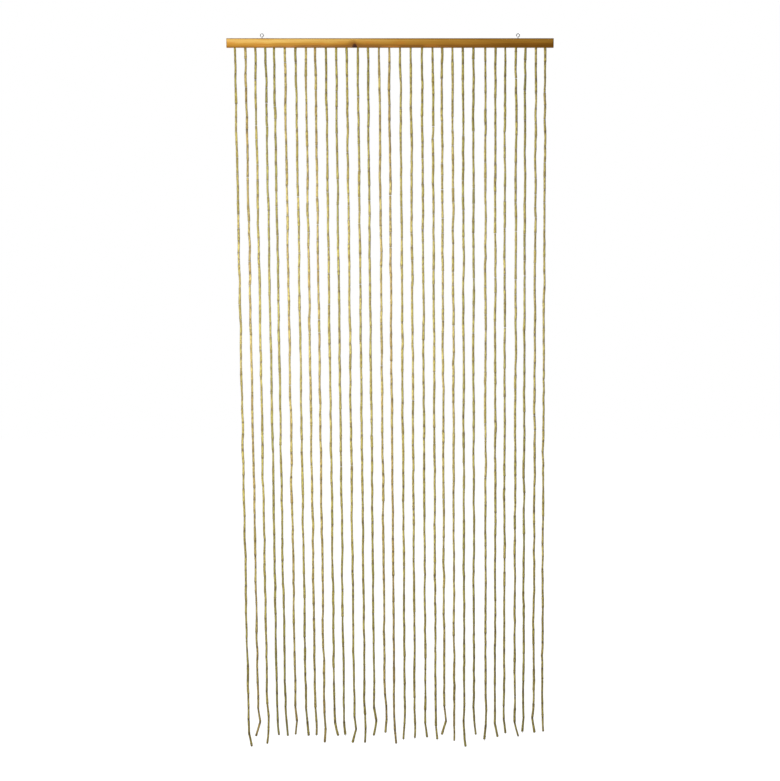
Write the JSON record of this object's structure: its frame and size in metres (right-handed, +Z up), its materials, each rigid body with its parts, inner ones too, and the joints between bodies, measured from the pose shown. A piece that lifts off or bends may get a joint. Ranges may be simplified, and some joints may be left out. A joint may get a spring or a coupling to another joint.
{
  "type": "bamboo bead door curtain on a wooden hanging rail",
  "caption": "Door curtain of thin bamboo tubes threaded on hanging cords, evenly spaced under a varnished pine rail that hooks up by screw eyes in its top edge.",
  "frame": {"origin": "middle of the rail's flat back face", "axes": "+X to the viewer's right along the rail, +Y to the back, towards the wall or the door's opening, +Z up; the curtain's front faces -Y"},
  "size_m": [0.9, 0.015, 2.0366],
  "materials": {
    "varnished_pine": "clear varnished pine, satin",
    "bamboo": "dry natural bamboo tube, straw to olive",
    "zinc": "bright zinc plating"
  },
  "bodies": {
    "root": {"rail": "varnished_pine", "screw_eye_left": "zinc", "screw_eye_right": "zinc", "strings": "bamboo"}
  },
  "joints": []
}
